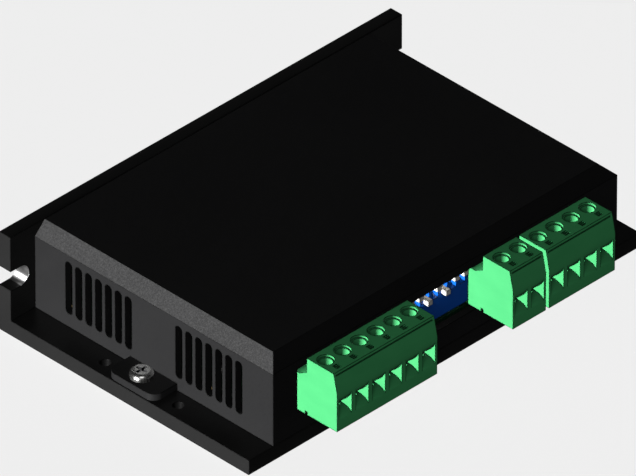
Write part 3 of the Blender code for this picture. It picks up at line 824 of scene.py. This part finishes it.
CHIP_ROWS = (-19.3, 22.0)  # Y of the two rows
CHIP_COUNT, CHIP_START, CHIP_STEP, CHIP_STAGGER = 17, -38.0, 4.6, 1.3
CHIP_HALF, CHIP_HEIGHT = 0.55, 0.5
CHIP_END_X, CHIP_END_HALF, CHIP_END_OVER = 0.75, 0.2, 0.03  # the metal ends stand a little over the body

GULL_WING = [  # a lead's side view: out from the chip, up from the board
    (-0.2, 0.75), (0.35, 0.75), (0.5, 0.17), (1.1, 0.17), (1.1, 0), (0.37, 0), (0.22, 0.58), (-0.2, 0.58),
]


def dress(node, material, width=0.0):
    """Gives a CAD node its material and, with its faces welded, softly rounded edges."""
    obj = NODES[node]
    obj.data.materials.clear()
    obj.data.materials.append(MATERIALS[material])
    weld = obj.modifiers.new("weld", "WELD")
    weld.merge_threshold = MERGE
    if width:
        bevelled(obj, width, FINE_ANGLE)


def capacitor(node):
    """A sleeved can: the sleeve's rolled edge round a bare top, and the bead above the seal."""
    a, b = low(node), high(node)
    centre = ((a.x + b.x) / 2, (a.y + b.y) / 2, a.z)
    radius, tall = (b.x - a.x) / 2, b.z - a.z
    sleeve = [
        (0, 0), (radius - 0.5, 0), (radius, 0.4), (radius, 1.6), (radius - 0.35, 2.0),
        (radius - 0.35, 2.4), (radius, 2.8), (radius, tall - 0.5), (radius - 0.15, tall - 0.12),
        (radius - 0.5, tall - 0.05), (radius - 0.7, tall - 0.2), (0, tall - 0.2),
    ]
    obj = piece(
        f"{node}_can", "chassis", "capacitors", "sleeve", [lathe(sleeve, centre)], (), 0.0, [node],
    )

    def on_top(x, y, z, normal):
        return math.hypot(x - centre[0], y - centre[1]) < radius - 0.55 and z > b.z - 0.4

    paint(obj, "can", on_top)


def small_parts():
    """Rows of chip resistors and capacitors on the board's free strips."""
    top = high("pcb").z
    end_half = CHIP_HALF + CHIP_END_OVER
    bodies, ends = [], []
    for y in CHIP_ROWS:
        for place in range(CHIP_COUNT):
            x = CHIP_START + CHIP_STEP * place + CHIP_STAGGER * (place % 2)
            bodies.append(box(
                (x - CHIP_HALF, y - CHIP_HALF, top), (x + CHIP_HALF, y + CHIP_HALF, top + CHIP_HEIGHT),
            ))
            for side in SIDES:
                end = x + side * CHIP_END_X
                ends.append(box(
                    (end - CHIP_END_HALF, y - end_half, top),
                    (end + CHIP_END_HALF, y + end_half, top + CHIP_HEIGHT + CHIP_END_OVER),
                ))
    piece("chip_bodies", "chassis", "chips", "epoxy", bodies, (), 0.04)
    piece("chip_ends", "chassis", "clamp_cages", "tin", ends, (), 0.04)


def leads(name, node, axes, count, pitch):
    """Gull-wing leads in rows along the given axes, on both sides of a chip."""
    a, b = low(node), high(node)
    top = high("pcb").z + 0.02
    half = 0.2 * pitch
    shapes = []
    for axis in axes:
        along_x = axis == "X"
        middle = (a.x + b.x) / 2 if along_x else (a.y + b.y) / 2
        near, far = (a.y, b.y) if along_x else (a.x, b.x)
        for sign, side in ((-1, near), (1, far)):
            outline = [(side + sign * out, top + up) for out, up in GULL_WING]
            if not along_x:
                outline = [(height, across) for across, height in outline]
            for i in range(count):
                centre = middle + (i - (count - 1) / 2) * pitch
                shapes.append(prism(outline, centre - half, centre + half, axis))
    piece(name, "chassis", "clamp_cages", "tin", shapes)


def inner_parts():
    dress("pcb", "board")
    for number in range(1, 5):
        dress(f"pcb_standoff_{number}", "brass", 0.1)
        cross_screw(
            f"board_screw_{number}", "board_screws", "zinc", f"pcb_screw_{number}",
            head=2.3, height=1.5, shank=1.2, pitch=0.45, steps=28,
        )
    for node in ("microcontroller", "optocoupler", "power_stage_a", "power_stage_b"):
        dress(node, "epoxy", 0.1)
    dress("inductor", "ferrite", 0.2)
    dress("thermal_pad", "pad", 0.2)
    for node in ("capacitor_1", "capacitor_2"):
        capacitor(node)
    leads("controller_leads", "microcontroller", "XY", 8, 0.8)
    leads("optocoupler_leads", "optocoupler", "X", 4, 1.27)
    small_parts()


# ---------------------------------------------------------------- floor, lights and camera

# Distances and sizes of the stage are in metres, and strengths in watts.
FLOOR_HALF = 12.0
FLOOR_DROP = 0.02 * MM  # keeps the floor clear of the base's underside
LIGHT_TARGET = (0, 0, 12 * MM)
WORLD_DIM = 0.02
WORLD_PALE = (0.871, 0.871, 0.871, 1)
HIDDEN_SLOTS = ("board", "standoffs", "board_screws", "capacitors", "chips", "inductor", "thermal_pad")
BLACK_SLOTS = ("heatsink", "cover")

LENS, SENSOR = 1280.0, 36.0
VIEW_WIDTH = 135.6 * MM  # the width that the camera sees at its target
VIEW_TARGET = (0.07, 0.81, 12.63)
VIEW_AZIMUTH, VIEW_ELEVATION = math.radians(-45), math.asin(1 / math.sqrt(3))


def floor():
    bm = bmesh.new()
    bmesh.ops.create_grid(bm, x_segments=8, y_segments=8, size=FLOOR_HALF)
    mesh = bpy.data.meshes.new("floor")
    bm.to_mesh(mesh)
    bm.free()
    obj = bpy.data.objects.new("floor", mesh)
    obj.location.z = -FLOOR_DROP
    bpy.context.scene.collection.objects.link(obj)
    s = Shader("pale_floor", Roughness=0.9, Specular_IOR_Level=0.0)
    mesh.materials.append(s.set(Base_Color=s.spread(s.noise(s.scaled(3, 3, 3)), 0.80, 0.81)))
    obj.visible_glossy = False
    obj.visible_diffuse = False
    obj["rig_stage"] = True
    return obj


def area_light(name, direction, distance, size, strength, receivers, blockers=None):
    """A soft light for some pieces only; where blockers are given, only they throw shadows."""
    data = bpy.data.lights.new(name, "AREA")
    data.shape = "RECTANGLE"
    data.size = data.size_y = size
    data.energy = strength
    obj = bpy.data.objects.new(name, data)
    way = Vector(direction).normalized()
    obj.location = Vector(LIGHT_TARGET) + way * distance
    obj.rotation_mode = "QUATERNION"
    obj.rotation_quaternion = way.to_track_quat("Z", "Y")
    obj.visible_camera = False
    bpy.context.scene.collection.objects.link(obj)
    obj.light_linking.receiver_collection = receivers
    if blockers is not None:
        obj.light_linking.blocker_collection = blockers
    return obj


def collection_of(name, objects):
    group = bpy.data.collections.new(name)
    for obj in objects:
        group.objects.link(obj)
    return group


def backdrop():
    """A world that the camera sees as pale and the pieces as nearly dark."""
    world = bpy.data.worlds.new("studio")
    world.use_nodes = True
    tree = world.node_tree
    dim = tree.nodes["Background"]
    dim.inputs["Color"].default_value = (1.0, 1.0, 1.0, 1)
    dim.inputs["Strength"].default_value = WORLD_DIM
    pale = tree.nodes.new("ShaderNodeBackground")
    pale.inputs["Color"].default_value = WORLD_PALE
    seen = tree.nodes.new("ShaderNodeLightPath").outputs["Is Camera Ray"]
    blend = tree.nodes.new("ShaderNodeMixShader")
    for output, socket in ((seen, 0), (dim.outputs[0], 1), (pale.outputs[0], 2)):
        tree.links.new(output, blend.inputs[socket])
    tree.links.new(blend.outputs[0], tree.nodes["World Output"].inputs["Surface"])
    bpy.context.scene.world = world


def studio(ground):
    cad_slots = {row["node"]: row["material_slot"] for row in frame["record"]["subparts"]}

    def slot_of(obj):
        return obj.get("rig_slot") or cad_slots[obj["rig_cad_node"]]

    def fixed(slot):
        return [obj for obj in shown if slot_of(obj) == slot and body_of(obj) == ["chassis"]]

    shown = [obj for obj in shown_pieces() if slot_of(obj) not in HIDDEN_SLOTS]
    blacks = [obj for obj in shown if slot_of(obj) in BLACK_SLOTS]
    ear_screws = [obj for obj in shown if slot_of(obj) == "cover_screws"]
    headers, pins = fixed("terminal_plastic"), fixed("clamp_cages")
    bright = [obj for obj in shown if obj not in blacks + ear_screws + headers + pins]

    # Coloured and shiny pieces leave no glow on the black ones.
    for obj in bright + headers + ear_screws:
        if "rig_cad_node" not in obj:
            obj.visible_diffuse = False
            obj.visible_glossy = False

    product = collection_of("product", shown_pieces())
    body = collection_of("body", blacks + ear_screws)
    black = collection_of("black", blacks)
    fittings = collection_of("fittings", bright)
    plastics = collection_of("plastics", bright + headers + pins)
    hidden = collection_of("hidden", [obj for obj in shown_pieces() if obj not in shown])
    stage = collection_of("stage", [ground])
    no_shadow = collection_of("buried", [NODES["thermal_pad"]])  # a blocker that no light reaches

    area_light("key_body", (-1.0, -0.03, -0.04), 2.0, 0.4, 112, body, no_shadow)
    key = area_light("key_fittings", (-1.0, 0.9, -0.04), 2.0, 0.4, 165, fittings, no_shadow)
    key.visible_glossy = False
    front_left = (-1, -1, 1)
    area_light("fill_fittings", front_left, 1.8, 0.9, 7.5, plastics)
    area_light("fill_body", front_left, 1.8, 0.9, 3.2, body)
    area_light("fill_inside", front_left, 1.8, 0.9, 1.0, hidden)
    gloss = area_light("gloss_back_left", (-1, 1, 0.95), 1.4, 0.7, 36, black, no_shadow)
    gloss.visible_diffuse = False
    for name, way in (("side_right", (1.0, -0.02, -0.02)), ("side_back", (0.02, 1.0, -0.02))):
        side = area_light(name, way, 1.8, 0.5, 45, product, product)
        side.visible_glossy = False
    area_light("overhead", UP, 3.0, 3.0, 124, stage, no_shadow)


def camera():
    """A very long lens along the isometric direction from the front left."""
    data = bpy.data.cameras.new("camera")
    data.lens = LENS
    data.sensor_width = SENSOR
    data.clip_start, data.clip_end = 0.05, 20.0
    obj = bpy.data.objects.new("camera", data)
    bpy.context.scene.collection.objects.link(obj)
    bpy.context.scene.camera = obj
    level = math.cos(VIEW_ELEVATION)
    back = Vector((
        math.sin(VIEW_AZIMUTH) * level, -math.cos(VIEW_AZIMUTH) * level, math.sin(VIEW_ELEVATION),
    ))
    obj.location = Vector(VIEW_TARGET) * MM + back * (VIEW_WIDTH * LENS / SENSOR)
    obj.rotation_mode = "QUATERNION"
    obj.rotation_quaternion = (-back).to_track_quat("-Z", "Y")


heatsink()
cover()
for side in ("left", "right"):
    cross_screw(
        f"ear_screw_{side}", "cover_screws", "plated", f"cover_screw_{side}",
        head=2.7, height=1.8, shank=1.45, pitch=0.5, steps=48,
    )
for label, ways in TERMINALS.items():
    plug(label, ways)
    header(label, ways)
clamp_parts()
dip_switch()
inner_parts()
camera()
backdrop()
studio(floor())
bpy.context.scene.view_settings.view_transform = "Standard"
